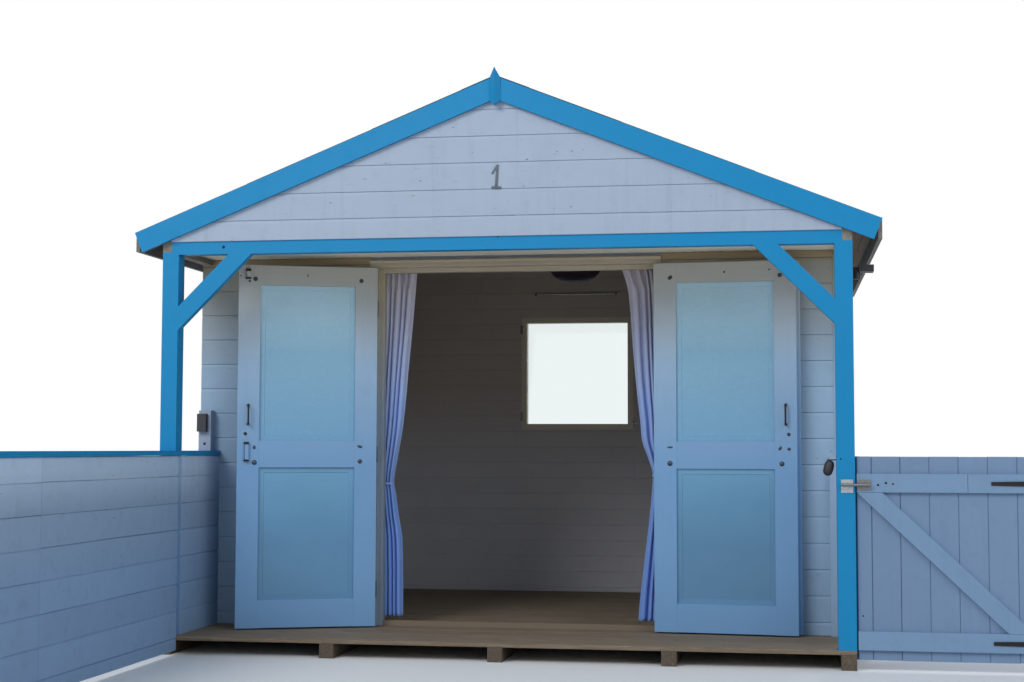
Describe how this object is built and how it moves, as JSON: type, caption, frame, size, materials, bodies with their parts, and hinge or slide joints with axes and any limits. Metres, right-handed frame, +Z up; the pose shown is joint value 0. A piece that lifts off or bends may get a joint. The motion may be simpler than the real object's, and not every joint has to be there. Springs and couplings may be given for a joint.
{
  "type": "beach hut",
  "caption": "Timber beach hut with a pitched roof, a shallow post porch, double doors standing open, a low side fence and a boarded side gate.",
  "frame": {"origin": "on the ground under the middle bearer, below the middle of the room", "axes": "+X to the right seen from the front, +Y from the front to the back, +Z up"},
  "size_m": [4.888, 6.444, 3.036],
  "materials": {
    "blue_paint": "blue painted wood, satin",
    "white_boards": "white painted boards",
    "bare_wood": "weathered bare wood",
    "floor_wood": "worn floor boards",
    "roof_wood": "plain roof boards",
    "felt": "mineral roof felt",
    "door_paint": "white gloss painted wood",
    "panel_paint": "pale blue gloss painted panel",
    "dark_metal": "black painted iron",
    "steel": "dull galvanised steel",
    "cotton": "pale lavender cotton",
    "glass": "clear window glass",
    "rod_brown": "brown painted rod",
    "fitting_grey": "dark grey moulded plastic"
  },
  "bodies": {
    "hut": {"floor_bearers": "bare_wood", "floor_boards": "floor_wood", "front_wall_sides": "white_boards", "front_wall_head": "white_boards", "back_wall": "white_boards", "side_walls": "white_boards", "side_plates": "bare_wood", "ridge_boards": "roof_wood", "rafters_left": "roof_wood", "rafters_right": "roof_wood", "roof_left": "roof_wood", "roof_right": "roof_wood", "roof_felt": "felt", "bargeboards": "blue_paint", "eaves_fascias": "bare_wood", "finial": "blue_paint", "porch_posts": "blue_paint", "porch_beam": "blue_paint", "porch_braces": "blue_paint", "front_gable": "white_boards", "porch_soffit": "white_boards", "door_frame": "door_paint", "door_sill": "floor_wood", "drip_cap": "door_paint", "hinge_pins": "dark_metal", "rods": "rod_brown", "curtain_left": "cotton", "curtain_right": "cotton", "window_frame": "door_paint", "window_glass": "glass", "ceiling_lamp": "dark_metal", "fence_boards": "white_boards", "fence_posts": "white_boards", "fence_cap": "blue_paint", "gate_post": "blue_paint", "wall_fittings": "fitting_grey"},
    "left_door": {"left_door_leaf": "door_paint", "left_door_panels": "panel_paint", "left_door_fittings": "dark_metal"},
    "right_door": {"right_door_leaf": "door_paint", "right_door_panels": "panel_paint", "right_door_fittings": "dark_metal"},
    "gate": {"gate_boards": "white_boards", "gate_ledges": "white_boards", "gate_fittings": "steel"}
  },
  "joints": [
    {"name": "left_door_hinge", "type": "hinge", "parent": "hut", "child": "left_door", "pos_m": [-0.784, -1.226, 1], "axis": [0, 0, 1], "range_deg": [-18, 159]},
    {"name": "right_door_hinge", "type": "hinge", "parent": "hut", "child": "right_door", "pos_m": [0.766, -1.226, 1], "axis": [0, 0, 1], "range_deg": [-174.7, 3.3]},
    {"name": "gate_hinge", "type": "hinge", "parent": "hut", "child": "gate", "pos_m": [2.856, -1.876, 0.5], "axis": [0, 0, 1], "range_deg": [0, 100]}
  ]
}
